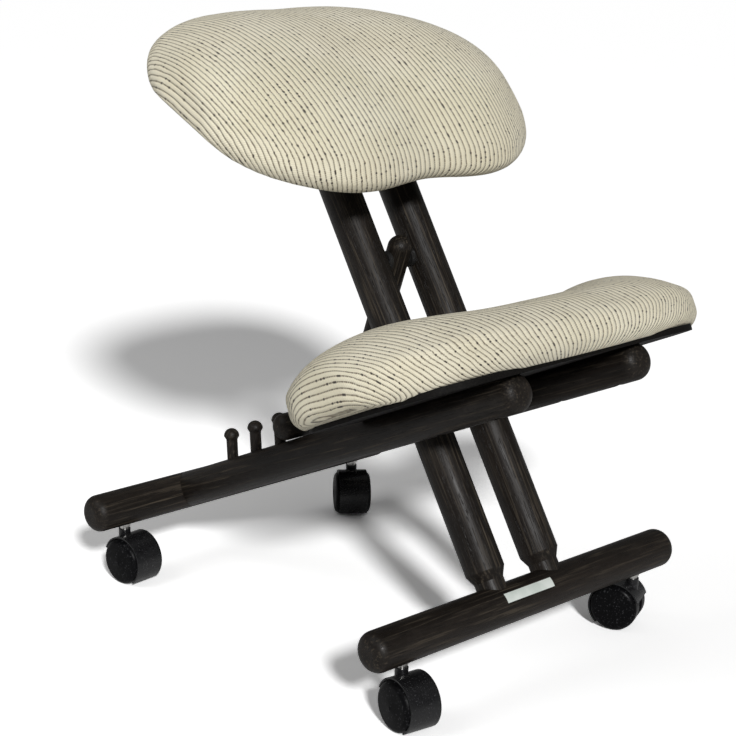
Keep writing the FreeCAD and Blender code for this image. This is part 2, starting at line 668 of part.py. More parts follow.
def cushion_section(place, front, rear, base, rim, top, inset):
    """Closed cut through a cushion: flat base and five arcs that run into each other without an edge."""
    middle = (front + rear) / 2
    half = (rear - front) / 2
    crown = top - rim
    edge_radius = EDGE_SHARE * crown
    reach = half - edge_radius
    crown_radius = (reach ** 2 + crown ** 2 - edge_radius ** 2) / (2 * (crown - edge_radius))
    slant = math.atan2(reach, crown_radius - crown)
    foot_drop = rim - base
    foot_radius = (inset ** 2 + foot_drop ** 2) / (2 * inset)
    foot_half = math.asin(foot_drop / foot_radius) / 2

    def point(outward, height, side):
        """By the distance from the cushion's middle line and the side, -1 for front."""
        return FreeCAD.Vector(place, middle + side * outward, height)

    def on_foot(angle, side):
        return point(half - foot_radius * (1 - math.cos(angle)), rim - foot_radius * math.sin(angle), side)

    def on_edge(angle, side):
        return point(half - edge_radius * (1 - math.cos(angle)), rim + edge_radius * math.sin(angle), side)

    meeting = math.pi / 2 - slant
    curves = []
    for side in (-1, 1):
        foot = [on_foot(2 * foot_half, side), on_foot(foot_half, side), on_foot(0, side)]
        edge = [on_edge(0, side), on_edge(meeting / 2, side), on_edge(meeting, side)]
        if side > 0:
            edge.reverse()
            foot.reverse()
        curves.append((foot, edge))
    (front_foot, front_edge), (rear_foot, rear_edge) = curves
    arcs = [front_foot, front_edge, [front_edge[2], point(0, top, 1), rear_edge[0]], rear_edge, rear_foot]
    pieces = [Part.Arc(*points).toShape() for points in arcs]
    pieces.append(Part.LineSegment(rear_foot[2], front_foot[0]).toShape())
    return Part.Wire(pieces)


def cushion(name, shape, stations):
    """Loft through the sections at some shares of the half width, on both sides."""
    sections = []
    for share in [-s for s in reversed(stations)] + stations[1:]:
        sections.append(shape(share))
    solid = Part.makeLoft(sections, True, False)
    if solid.Volume < 0:
        solid.reverse()
    item = document.addObject("Part::Feature", name)
    item.Shape = solid
    return item


def squircle(share, power):
    return max(0.0, 1 - abs(share) ** power) ** (1 / power)


def bell(share, width, power):
    return math.exp(-(abs(share) / width) ** power)


# Shapes of the cushions seen from above and from the front, as powers of rounded squares
FRONT_POWER = 2.3
REAR_POWER = 2.6
KNEE_POWER = 2.6
CROWN_POWER = 3.2
CROWN_TAPER = 1.0

# Shares of the half width: flat base, the seat's front hollow and saddle, the knee cushion's notch and saddle
BASE_SHARE = 0.82
DENT_WIDTH = 0.34
SEAT_DIP_WIDTH = 0.3
NOTCH_WIDTH = 0.47
NOTCH_POWER = 6
KNEE_DIP_WIDTH = 0.47
KNEE_DIP_POWER = 4

# Shares of a height or a width: edge rounding, lift of the base at the ends, where the full inset starts
EDGE_SHARE = 0.46
BASE_LIFT = 0.8
INSET_GROWTH = 1.5

# Cuts that the cushions' forms run through, as shares of the half width
SEAT_STATIONS = [0, 0.2, 0.42, 0.62, 0.78, 0.9, 0.965, 0.99]
KNEE_STATIONS = [0, 0.14, 0.26, 0.35, 0.43, 0.51, 0.6, 0.7, 0.8, 0.89, 0.955, 0.988]


def raised_base(share, rim):
    """Underside: flat over the board, rounded up to the rim near the cushion's ends."""
    past = max(0.0, (abs(share) - BASE_SHARE) / (1 - BASE_SHARE))
    return BASE_LIFT * rim * (1 - math.sqrt(1 - min(1.0, past) ** 2))


def seat_section(share):
    plan = squircle(share, FRONT_POWER)
    rim = size("seat_rim")
    half_board = size("seat_board_depth") / 2
    dent = size("seat_dent") * bell(share, DENT_WIDTH, 2)
    front = dent - (half_board + size("seat_front_overhang")) * plan
    rear = (half_board + size("seat_rear_overhang")) * squircle(share, REAR_POWER)
    rise = (size("seat_height") - rim) * squircle(share, CROWN_POWER) ** CROWN_TAPER
    top = rim + rise - size("seat_dip") * bell(share, SEAT_DIP_WIDTH, 2)
    inset = size("seat_inset") * min(1.0, plan * INSET_GROWTH)
    return cushion_section(share * size("seat_width") / 2, front, rear, raised_base(share, rim), rim, top, inset)


def knee_section(share):
    plan = squircle(share, KNEE_POWER)
    rim = size("knee_rim")
    edge = size("knee_board_depth") / 2 + size("knee_overhang")
    notch = (edge - size("notch_floor")) * bell(share, NOTCH_WIDTH, NOTCH_POWER)
    rise = (size("knee_height") - rim) * squircle(share, CROWN_POWER) ** CROWN_TAPER
    top = rim + rise - size("knee_dip") * bell(share, KNEE_DIP_WIDTH, KNEE_DIP_POWER)
    inset = size("knee_inset") * min(1.0, plan * INSET_GROWTH)
    return cushion_section(share * size("knee_width") / 2, -edge * plan, edge * plan - notch,
                           raised_base(share, rim), rim, top, inset)


# Seat: board on the struts, cushion wrapped round the board's edge
def seat():
    turn = FreeCAD.Rotation(AXIS_X, size("seat_tilt"))
    place = FreeCAD.Placement(seat_point, turn)
    points = seat_bolt_points(-1) + seat_bolt_points(1)

    panel = board("seat_board", "seat_board_width", "seat_board_depth", "seat_board_thickness",
                  "seat_board_roundness")
    panel.Placement = place
    holes = board_holes("seat_board", points, seat_up, "seat_board_thickness")
    keep(without("seat_board", panel, holes), "seat_board")

    form = cushion("seat_form", seat_section, SEAT_STATIONS)
    form.Placement = place
    below = document.addObject("Part::Box", "seat_below")
    bound(below, Length="2 * sizes.seat_width", Width="2 * sizes.seat_width", Height="sizes.seat_board_thickness")
    corner = FreeCAD.Vector(-size("seat_width"), -size("seat_width"), -size("seat_board_thickness"))
    below.Placement = place.multiply(FreeCAD.Placement(corner, FreeCAD.Rotation()))
    keep(without("seat_cushion", form, [panel, below]), "seat_cushion")
    tee_nuts("seat_tee_nuts", points, seat_up, "seat_board_thickness")
    bolts("seat_bolts", points, seat_up, "seat_grip", "seat_board_thickness")


# Knee rest: board with an opening for the struts, cushion wrapped over the upper part of its edge
def knee_rest():
    turn = FreeCAD.Rotation(AXIS_X, -size("rail_tilt"))
    middle = rail_point(size("knee_reach"), rail_radius - size("rail_flat"))
    place = FreeCAD.Placement(middle, turn)
    points = knee_bolt_points(-1) + knee_bolt_points(1)

    panel = board("knee_board", "knee_board_width", "knee_board_depth", "knee_board_thickness",
                  "knee_board_roundness")
    half = "sizes.notch_width / 2"
    beyond = "sizes.knee_board_depth"
    opening = outline(panel, "knee_board_opening", "XY_Plane", [
        ("-" + half, "sizes.notch_floor"),
        (half, "sizes.notch_floor"),
        (half, beyond),
        ("-" + half, beyond),
    ])
    pocket = panel.newObject("PartDesign::Pocket", "knee_board_pocket")
    pocket.Profile = opening
    pocket.Type = 1
    pocket.Reversed = True
    softened(panel, "knee_board_opening_corners", "sizes.board_notch_round", opening_corner)
    panel.Placement = place
    holes = board_holes("knee_board", points, rail_up, "knee_board_thickness")
    keep(without("knee_board", panel, holes), "knee_board")

    form = cushion("knee_form", knee_section, KNEE_STATIONS)
    form.Placement = FreeCAD.Placement(middle + rail_up * size("knee_board_edge"), turn)
    below = document.addObject("Part::Box", "knee_below")
    bound(below, Length="2 * sizes.knee_width", Width="2 * sizes.knee_width",
          Height="sizes.knee_board_thickness")
    corner = FreeCAD.Vector(-size("knee_width"), -size("knee_width"),
                            size("knee_board_edge") - size("knee_board_thickness"))
    below.Placement = place.multiply(FreeCAD.Placement(corner, FreeCAD.Rotation()))
    keep(without("knee_cushion", form, [panel, below]), "knee_cushion")
    tee_nuts("knee_tee_nuts", points, rail_up, "knee_board_thickness")
    bolts("knee_bolts", points, rail_up, "knee_grip", "knee_board_thickness")


def opening_corner(edge):
    """The two inner upright edges of the knee board's opening."""
    middle = edge.CenterOfMass
    return (upright(edge) and abs(middle.y - size("notch_floor")) < 0.01
            and abs(abs(middle.x) - size("notch_width") / 2) < 0.01)


# Bare label: thin curved plate on the front bar
def label_plate():
    start = across(front_axis, size("label_place") - size("label_length") / 2)
    first = size("label_rise") - size("label_arc") / 2
    # The sector's zero line points to the front; it opens upwards
    turn = FreeCAD.Rotation(AXIS_Z, AXIS_X)
    wedge = document.addObject("Part::Cylinder", "label_wedge")
    bound(wedge, Radius="sizes.bar_diameter / 2 + sizes.label_thickness", Height="sizes.label_length",
          Angle="sizes.label_arc")
    zero = math.degrees(math.atan2(turn.multVec(AXIS_X).z, -turn.multVec(AXIS_X).y))
    spin = FreeCAD.Rotation(AXIS_X, zero - first - size("label_arc"))
    wedge.Placement = FreeCAD.Placement(start, spin.multiply(turn))
    inner = cylinder("label_inner", "sizes.bar_diameter / 2", "2 * sizes.label_length",
                     start - AXIS_X * size("label_length") / 2, AXIS_X)
    keep(without("label_plate", wedge, [inner]), "label_plate")


def caster_wheel(name):
    """Wheel with a crowned outer face; its axis is its own Z, its inner face at zero."""
    body = turned(name + "_disc", [
        ("sizes.axle_diameter / 2 + sizes.running_clearance", "0"),
        ("sizes.wheel_diameter / 2", "0"),
        ("sizes.wheel_diameter / 2", "sizes.wheel_width - sizes.wheel_dome"),
        ("0", "sizes.wheel_width"),
        ("0", "sizes.axle_blind"),
        ("sizes.axle_diameter / 2 + sizes.running_clearance", "sizes.axle_blind"),
    ])

    def rim_edge(level):
        def chosen(edge):
            if not isinstance(edge.Curve, Part.Circle):
                return False
            centre = edge.Curve.Center
            wide = abs(edge.Curve.Radius - size("wheel_diameter") / 2) < 0.01
            return wide and abs(centre.z - level) < 0.01
        return chosen

    softened(body, name + "_shoulder", "sizes.wheel_shoulder", rim_edge(size("wheel_width") - size("wheel_dome")))
    softened(body, name + "_tread", "sizes.wheel_edge", rim_edge(0))
    return body


# Twin-wheel caster: hood with middle web and stem boss, stem, axle and two wheels
def caster(label, side, rear, swing):
    name = "caster_" + label
    stem_foot = across(rear_axis if rear else front_axis, side * size("caster_spacing") / 2)
    stem_foot.z = 0
    swivel = FreeCAD.Placement(stem_foot, FreeCAD.Rotation(AXIS_Z, swing))
    wheel_radius = size("wheel_diameter") / 2
    axle_point = FreeCAD.Vector(0, -size("caster_trail"), wheel_radius)
    half_gap = size("wheel_gap") / 2
    drum = 2 * size("wheel_width") + size("wheel_gap")

    def local(kind, suffix, base, direction, **formulas):
        item = document.addObject(kind, name + suffix)
        bound(item, **formulas)
        item.Placement = swivel.multiply(FreeCAD.Placement(base, FreeCAD.Rotation(AXIS_Z, direction)))
        return item

    # Hood: a sector of tube over both wheels, opened on the stem's side
    drum_text = "2 * sizes.wheel_width + sizes.wheel_gap - 2 * sizes.wheel_shoulder"
    hood_start = axle_point - AXIS_X * (drum / 2 - size("wheel_shoulder"))
    turned_frame = FreeCAD.Rotation(AXIS_Y, AXIS_Z, AXIS_X, "XYZ")
    shell = document.addObject("Part::Cylinder", name + "_shell_outer")
    bound(shell, Radius="sizes.wheel_diameter / 2 + sizes.hood_room + sizes.hood_wall", Height=drum_text,
          Angle="sizes.hood_span")
    tilt = FreeCAD.Rotation(AXIS_X, size("hood_start"))
    shell.Placement = swivel.multiply(FreeCAD.Placement(hood_start, tilt.multiply(turned_frame)))
    hollow = local("Part::Cylinder", "_shell_inner", axle_point - AXIS_X * drum, AXIS_X,
                   Radius="sizes.wheel_diameter / 2 + sizes.hood_room", Height="2 * (%s)" % drum_text)
    cover = without(name + "_cover", shell, [hollow])
    web = local("Part::Cylinder", "_web", axle_point - AXIS_X * (half_gap - size("web_room")), AXIS_X,
                Radius="sizes.wheel_diameter / 2 - sizes.wheel_edge",
                Height="sizes.wheel_gap - 2 * sizes.web_room")
    rib = document.addObject("Part::Box", name + "_rib")
    bound(rib, Length="sizes.wheel_gap - 2 * sizes.web_room",
          Width="sizes.caster_trail + sizes.hood_room + sizes.hood_wall / 2",
          Height="sizes.wheel_diameter / 2 + sizes.hood_room + sizes.hood_wall / 2")
    rib_corner = FreeCAD.Vector(-(half_gap - size("web_room")), -size("caster_trail"), wheel_radius)
    rib.Placement = swivel.multiply(FreeCAD.Placement(rib_corner, FreeCAD.Rotation()))
    rib_trim = local("Part::Cylinder", "_rib_trim", axle_point - AXIS_X * drum, AXIS_X,
                     Radius="sizes.wheel_diameter / 2 + sizes.hood_room + sizes.hood_wall / 2",
                     Height="2 * (%s)" % drum_text)
    rib_part = document.addObject("Part::Common", name + "_rib_round")
    rib_part.Base = rib
    rib_part.Tool = rib_trim
    boss_low = wheel_radius + size("stem_diameter") / 2
    boss = local("Part::Cylinder", "_boss", FreeCAD.Vector(0, 0, boss_low), AXIS_Z,
                 Radius="sizes.boss_diameter / 2",
                 Height="sizes.boss_top - sizes.wheel_diameter / 2 - sizes.stem_diameter / 2")
    whole = joined(name + "_body", [cover, web, rib_part, boss])
    room = []
    for wheel_side in SIDES:
        start = axle_point + AXIS_X * wheel_side * (half_gap - size("web_room"))
        room.append(local("Part::Cylinder", "_room_" + SIDE_NAMES[wheel_side], start, AXIS_X * wheel_side,
                          Radius="sizes.wheel_diameter / 2 + sizes.hood_room", Height=drum_text))
    stem_low = size("boss_top") - size("stem_in_boss")
    stem_hole = local("Part::Cylinder", "_stem_hole", FreeCAD.Vector(0, 0, stem_low), AXIS_Z,
                      Radius="sizes.stem_diameter / 2", Height="2 * sizes.stem_in_boss")
    tail_hole = local("Part::Cylinder", "_tail_hole", FreeCAD.Vector(0, 0, stem_low - size("stem_tail")), AXIS_Z,
                      Radius="sizes.stem_tail_diameter / 2", Height="sizes.stem_tail + sizes.stem_in_boss")
    axle_hole = local("Part::Cylinder", "_axle_hole", axle_point - AXIS_X * size("wheel_gap"), AXIS_X,
                      Radius="sizes.axle_diameter / 2", Height="2 * sizes.wheel_gap")
    keep(without(name + "_hood", whole, room + [stem_hole, tail_hole, axle_hole]), name + "_hood")

    stem = local("Part::Cylinder", "_stem_pin", FreeCAD.Vector(0, 0, stem_low), AXIS_Z,
                 Radius="sizes.stem_diameter / 2",
                 Height="sizes.stem_in_boss + sizes.caster_height - sizes.boss_top + sizes.stem_in_bar")
    tail = local("Part::Cylinder", "_stem_tail", FreeCAD.Vector(0, 0, stem_low - size("stem_tail")), AXIS_Z,
                 Radius="sizes.stem_tail_diameter / 2", Height="sizes.stem_tail + sizes.stem_in_boss")
    keep(joined(name + "_stem", [stem, tail]), name + "_stem")
    half_axle = half_gap + size("axle_blind") - size("web_room")
    axle = local("Part::Cylinder", "_axle", axle_point - AXIS_X * half_axle, AXIS_X,
                 Radius="sizes.axle_diameter / 2",
                 Height="sizes.wheel_gap + 2 * sizes.axle_blind - 2 * sizes.web_room")
    keep(axle, name + "_axle")
    for wheel_side in SIDES:
        wheel = caster_wheel("%s_wheel_%s" % (name, SIDE_NAMES[wheel_side]))
        base = axle_point + AXIS_X * wheel_side * half_gap
        wheel.Placement = swivel.multiply(
            FreeCAD.Placement(base, FreeCAD.Rotation(AXIS_Z, AXIS_X * wheel_side)))
        keep(wheel, "%s_wheel_%s" % (name, SIDE_NAMES[wheel_side]))


front_bar()
rear_bar()
sockets("caster_sockets_front", front_axis)
sockets("caster_sockets_rear", rear_axis)
for side in SIDES:
    seat_strut(side)
    knee_rail(side)
    pegs(side)
crossing()
prop()
seat()
knee_rest()
label_plate()
for label, side, rear, swing in CASTERS:
    caster(label, side, rear, swing)

document.recompute()
faults = []
for item in document.Objects:
    if "Invalid" in item.State or "Error" in item.State:
        faults.append("%s: %s" % (item.Name, item.State))
for item in nodes:
    if item.Shape.isNull() or not item.Shape.isValid() or item.Shape.Volume <= 0:
        faults.append("%s: bad shape" % item.Label)
if faults:
    raise RuntimeError("; ".join(faults))
for item in nodes:
    item.Shape.exportStep("parts/%s.step" % item.Label)
print("pivot %.2f %.2f, prop pin %.2f %.2f, foot %.2f %.2f at %.1f along the rail" % (
    pivot.y, pivot.z, prop_pin_point.y, prop_pin_point.z, foot_point.y, foot_point.z, foot_distance))
print("%d sub-parts" % len(nodes))
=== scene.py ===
"""Kneeling chair: surfaces, cushions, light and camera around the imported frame, in metres."""

import math

import bpy
from mathutils import Matrix, Vector
from mathutils.bvhtree import BVHTree


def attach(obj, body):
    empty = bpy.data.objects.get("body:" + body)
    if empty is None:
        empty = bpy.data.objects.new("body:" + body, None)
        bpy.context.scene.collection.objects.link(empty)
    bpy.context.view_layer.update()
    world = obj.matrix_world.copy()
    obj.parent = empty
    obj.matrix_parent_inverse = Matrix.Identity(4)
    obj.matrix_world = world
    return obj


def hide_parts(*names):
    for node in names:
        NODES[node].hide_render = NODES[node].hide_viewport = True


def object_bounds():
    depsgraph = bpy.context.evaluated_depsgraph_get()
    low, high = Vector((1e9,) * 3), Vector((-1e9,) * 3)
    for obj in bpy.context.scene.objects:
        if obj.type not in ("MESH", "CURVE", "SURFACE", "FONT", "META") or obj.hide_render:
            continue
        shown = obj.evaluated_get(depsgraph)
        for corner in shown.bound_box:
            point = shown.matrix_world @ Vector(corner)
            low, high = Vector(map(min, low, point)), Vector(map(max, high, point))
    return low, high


MM = 0.001

# Fabric: ribs, stitches along them, and the loose dark yarn ends caught in the grooves
RIB_PITCH = 6.5 * MM
RIB_HEIGHT = 1.3 * MM
STITCH_LENGTH = 2.4 * MM
FLECK_LENGTH = 2.4 * MM
FLECK_SHARE = 0.075
BROWN_SHARE = 4.5 * FLECK_SHARE
SWAY = 1.6 * MM

# Padding: grid of the remeshed pad, how much smaller it starts, how far pressure may move it,
# the heights above the board between which it is let go, and the cloth's own settings
PAD_GRID = 5 * MM
PAD_SHRINK = 3.0 * MM
PAD_CAP = 4.5 * MM
PAD_PRESSURE = 4.0
PAD_FRAMES = 20
HELD_BELOW = 6 * MM
FREE_ABOVE = 22 * MM
SMOOTHING_PASSES = 12
CLOTH_QUALITY = 5
CLOTH_MASS = 0.3

# Ribs on the pad: the squared slope that still counts as flat, the directions in which the rim is
# measured, and how far a face turns down where it starts to count, and fully counts, as under the rim
FLAT_SLOPE = 0.02
RIM_STEPS = 72
RIM_LEAST = 1 * MM
TUCKED_NONE = -0.1
TUCKED_ALL = 0.3
RIB_EVENING = 3

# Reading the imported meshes: where the search for a long axis starts and its rounds, how far up a
# deck's normal points at least, and how close two normals of one plane are
AXIS_GUESS = Vector((0.31, 0.52, 0.79))
AXIS_ROUNDS = 60
UPWARD = 0.2
SAME_PLANE = 0.9999

# Colours, linear
WOOD_DEEP = (0.0080, 0.0062, 0.0048)
WOOD_STREAK = (0.062, 0.050, 0.036)
WOOD_FIGURE = (0.019, 0.0145, 0.0115)
WOOD_WORN = (0.036, 0.030, 0.025)
WOOD_PORE = (0.0035, 0.0028, 0.0024)
BOARD_DEEP = (0.0035, 0.0032, 0.0030)
BOARD_FIBRE = (0.010, 0.009, 0.008)
BOARD_BLOTCH = (0.009, 0.008, 0.0075)
CREAM_DEEP = (0.77, 0.71, 0.525)
CREAM_PALE = (0.845, 0.79, 0.615)
# Cream with painted shade, laid along the diagonal twill lines
CREAM_PAINTED_SHADE = (0.56, 0.50, 0.355)
CREAM_FUZZ = (0.84, 0.80, 0.67)
# Painted shade in the grooves between the ribs
GROOVE_PAINTED_SHADE = (0.135, 0.105, 0.062)
YARN_BROWN = (0.13, 0.085, 0.045)
YARN_DARK = (0.028, 0.019, 0.014)
# Pale speck colour on the moulded plastics: painted glints of light
PLASTIC_PAINTED_GLINT = (0.06, 0.06, 0.064)
STEEL_BRIGHT = (0.62, 0.61, 0.59)
STEEL_DULL = (0.42, 0.41, 0.40)
LABEL_PALE = (0.66, 0.70, 0.66)
LABEL_STAIN = (0.50, 0.56, 0.51)
LABEL_PAPER = (0.74, 0.77, 0.74)

# Camera, found from the photograph's own perspective
CAMERA_PLACE = Vector((-1.2747, -1.3122, 0.8198))
CAMERA_AZIMUTH = math.radians(-43.25)
CAMERA_ELEVATION = math.radians(16.84)
CAMERA_ROLL = math.radians(1.94)
CAMERA_LENS = 91.09
CAMERA_SENSOR = 36.0
CAMERA_CLIP = (0.05, 100.0)

# Light: the key comes from where the photograph's floor shadow points
KEY_DIRECTION = Vector((-0.42, -0.72, 0.52)).normalized()
KEY_STRENGTH = 2.75
KEY_SOFTNESS = math.radians(7)
SIDE_DIRECTION = Vector((-0.9, 0.35, 0.8)).normalized()
SIDE_DISTANCE = 2.2
SIDE_SIZE = 1.2
SIDE_POWER = 9.0
FILL_STRENGTH = 0.15
BACKDROP_STRENGTH = 1.0
FLOOR_WHITE = 1.62
FLOOR_PALE = 0.72
FLOOR_SIZE = 40.0

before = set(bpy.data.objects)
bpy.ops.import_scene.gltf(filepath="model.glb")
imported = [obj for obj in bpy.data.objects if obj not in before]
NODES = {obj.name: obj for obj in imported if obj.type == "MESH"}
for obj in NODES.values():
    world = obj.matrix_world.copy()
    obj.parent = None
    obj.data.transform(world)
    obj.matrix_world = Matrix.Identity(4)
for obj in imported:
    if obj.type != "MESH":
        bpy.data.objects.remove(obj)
cad_low, cad_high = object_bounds()


class Surface:
    """A node material with short ways to add nodes and join them."""

    def __init__(self, name):
        self.material = bpy.data.materials.new(name)
        self.material.use_nodes = True
        self.nodes = self.material.node_tree.nodes
        self.links = self.material.node_tree.links
        self.shader = self.nodes["Principled BSDF"]

    def add(self, kind, inputs=(), **settings):
        node = self.nodes.new("ShaderNode" + kind)
        for key, value in settings.items():
            setattr(node, key, value)
        for key, value in dict(inputs).items():
            self.feed(node.inputs[key], value)
        return node

    def feed(self, socket, value):
        if isinstance(value, bpy.types.NodeSocket):
            self.links.new(value, socket)
        else:
            socket.default_value = value

    def set(self, **values):
        for key, value in values.items():
            self.feed(self.shader.inputs[key.replace("_", " ")], value)

    def math(self, operation, first, second=0.0, clamp=False):
        node = self.add("Math", {0: first, 1: second}, operation=operation)
        node.use_clamp = clamp
        return node.outputs[0]

    def times(self, first, second):
        return self.math("MULTIPLY", first, second)

    def vector(self, operation, first, second=(0, 0, 0)):
        node = self.add("VectorMath", {0: first, 1: second}, operation=operation)
        return node.outputs["Value" if operation == "DOT_PRODUCT" else "Vector"]

    def scaled(self, vector, factor):
        node = self.add("VectorMath", {0: vector, "Scale": factor}, operation="SCALE")
        return node.outputs["Vector"]

    def noise(self, vector, scale, detail=3.0, roughness=0.55):
        inputs = {"Vector": vector, "Scale": scale, "Detail": detail, "Roughness": roughness}
        return self.add("TexNoise", inputs).outputs["Fac"]

    def ramp(self, value, low, high, start=0.0, end=1.0):
        """value from start to end becomes low to high, evenly, and stays there outside that."""
        inputs = {"Value": value, "From Min": start, "From Max": end}
        inputs.update({"To Min": low, "To Max": high})
        return self.add("MapRange", inputs).outputs["Result"]

    def smooth(self, value, start, end):
        inputs = {"Value": value, "From Min": start, "From Max": end}
        return self.add("MapRange", inputs, interpolation_type="SMOOTHSTEP").outputs["Result"]

    def mix(self, share, first, second):
        node = self.add("Mix", data_type="RGBA")
        self.feed(node.inputs["Factor"], share)
        for number, colour in ((6, first), (7, second)):
            fixed = not isinstance(colour, bpy.types.NodeSocket)
            self.feed(node.inputs[number], (*colour, 1.0) if fixed else colour)
        return node.outputs[2]

    def place(self):
        return self.add("TexCoord").outputs["Object"]

    def bump(self, height, distance, strength=1.0, under=None):
        inputs = {"Height": height, "Distance": distance, "Strength": strength}
        if under is not None:
            inputs["Normal"] = under
        return self.add("Bump", inputs).outputs["Normal"]


def stained_wood(name, axis, shift):
    """Near-black stain over open-grained hardwood whose grain runs along axis."""
    wood = Surface(name)
    place = wood.vector("ADD", wood.place(), shift)
    along = wood.vector("DOT_PRODUCT", place, axis)

    def grain(squeeze):
        drawn = wood.scaled(tuple(axis), wood.times(along, squeeze - 1.0))
        return wood.vector("ADD", place, drawn)

    streaks = wood.noise(grain(0.03), scale=420.0, detail=4.0, roughness=0.6)
    fine = wood.noise(grain(0.045), scale=1250.0, detail=2.0, roughness=0.5)
    pores = wood.smooth(fine, start=0.56, end=0.68)
    figure = wood.noise(grain(0.10), scale=55.0, detail=3.0, roughness=0.5)
    rubbed = wood.noise(place, scale=38.0, detail=4.0, roughness=0.65)
    wear = wood.smooth(rubbed, start=0.52, end=0.78)
    streaked = wood.smooth(streaks, start=0.50, end=0.72)
    figured = wood.smooth(figure, start=0.35, end=0.75)
    colour = wood.mix(streaked, WOOD_DEEP, WOOD_STREAK)
    colour = wood.mix(wood.times(figured, 0.55), colour, WOOD_FIGURE)
    colour = wood.mix(wood.times(wear, 0.30), colour, WOOD_WORN)
    colour = wood.mix(wood.times(pores, 0.75), colour, WOOD_PORE)
    relief = wood.math("SUBTRACT", wood.times(streaks, 0.6), wood.times(pores, 0.8))
    wood.set(
        Base_Color=colour,
        Roughness=wood.ramp(streaks, low=0.36, high=0.60, start=0.3, end=0.7),
        Normal=wood.bump(relief, distance=0.22 * MM, strength=0.85),
    )
    wood.shader.inputs["Specular IOR Level"].default_value = 0.2
    return wood.material


def painted_board():
    """Plywood edge and underside under thin black paint: fine ply lines still show."""
    board = Surface("black_board")
    place = board.place()
    fibres = board.noise(place, scale=620.0, detail=3.0, roughness=0.6)
    blotches = board.noise(place, scale=45.0, detail=3.0, roughness=0.5)
    colour = board.mix(board.smooth(fibres, start=0.42, end=0.72), BOARD_DEEP, BOARD_FIBRE)
    colour = board.mix(board.times(blotches, 0.4), colour, BOARD_BLOTCH)
    board.set(
        Base_Color=colour,
        Roughness=board.ramp(blotches, low=0.55, high=0.8, start=0.3, end=0.7),
        Normal=board.bump(fibres, distance=0.15 * MM, strength=0.6),
    )
    board.shader.inputs["Specular IOR Level"].default_value = 0.08
    return board.material


def ribbed_fabric():
    """Cream ribbed knit: rounded ribs, painted shade in the grooves, dotted along the stitches, and
    along the twill; dark yarn ends caught in the grooves.
    """
    knit = Surface("ribbed_fabric")
    across = knit.add("Attribute", attribute_name="across").outputs["Fac"]
    along = knit.add("Attribute", attribute_name="along").outputs["Fac"]
    place = knit.place()
    wander = knit.math("SUBTRACT", knit.noise(place, scale=26.0, detail=2.0), 0.5)
    turns = knit.math("DIVIDE", knit.math("ADD", across, knit.times(wander, SWAY)), RIB_PITCH)
    stitches = knit.math("DIVIDE", along, STITCH_LENGTH)
    rib = knit.math("ABSOLUTE", knit.math("SINE", knit.times(turns, math.pi)))
    ridge = knit.math("POWER", rib, 0.55)

    lean = knit.math("ADD", stitches, knit.times(turns, 2.0))
    twill = knit.math("SINE", knit.times(lean, 2 * math.pi))
    stitch = knit.math("SINE", knit.times(stitches, 2 * math.pi))
    fuzz = knit.noise(place, scale=1500.0, detail=2.0, roughness=0.6)
    groove = knit.math("SUBTRACT", 1.0, knit.smooth(rib, start=0.08, end=0.62))

    # Yarn ends: one cell per groove and length of yarn, a few of them dark
    cells = knit.add("CombineXYZ", {
        "X": knit.math("ROUND", turns),
        "Y": knit.math("FLOOR", knit.math("DIVIDE", along, FLECK_LENGTH)),
    }).outputs[0]
    draw = knit.add("TexWhiteNoise", {"Vector": cells}, noise_dimensions="2D").outputs["Value"]
    low_rib = knit.math("SUBTRACT", 1.0, knit.smooth(rib, start=0.35, end=0.75))
    fleck = knit.times(knit.math("LESS_THAN", draw, FLECK_SHARE), low_rib)
    browned = knit.times(knit.math("LESS_THAN", draw, BROWN_SHARE), groove)

    tone = knit.smooth(knit.noise(place, scale=14.0, detail=3.0), start=0.35, end=0.7)
    # Painted shade: the cream darkens along the diagonal twill lines
    twill_painted_shade = knit.ramp(twill, low=0.0, high=0.34, start=-1.0, end=1.0)
    fuzzed = knit.times(knit.smooth(fuzz, start=0.4, end=0.75), 0.45)
    # Painted shade in the grooves between the ribs, broken into dots along the stitches
    dotted_groove_shade = knit.times(groove, knit.ramp(stitch, low=0.35, high=1.0, start=-1.0, end=1.0))
    cream = knit.mix(tone, CREAM_DEEP, CREAM_PALE)
    cream = knit.mix(twill_painted_shade, cream, CREAM_PAINTED_SHADE)
    cream = knit.mix(fuzzed, cream, CREAM_FUZZ)
    colour = knit.mix(dotted_groove_shade, cream, GROOVE_PAINTED_SHADE)
    colour = knit.mix(knit.times(browned, 0.55), colour, YARN_BROWN)
    colour = knit.mix(knit.times(fleck, 0.92), colour, YARN_DARK)

    height = knit.math("ADD", ridge, knit.times(twill, 0.13))
    height = knit.math("ADD", height, knit.times(fuzz, 0.16))
    knit.set(
        Base_Color=colour,
        Roughness=knit.ramp(fuzz, low=0.82, high=0.98, start=0.3, end=0.7),
        Normal=knit.bump(height, distance=RIB_HEIGHT, strength=0.9),
    )
    knit.shader.inputs["Specular IOR Level"].default_value = 0.15
    knit.shader.inputs["Sheen Weight"].default_value = 0.18
    knit.shader.inputs["Sheen Roughness"].default_value = 0.6
    return knit.material


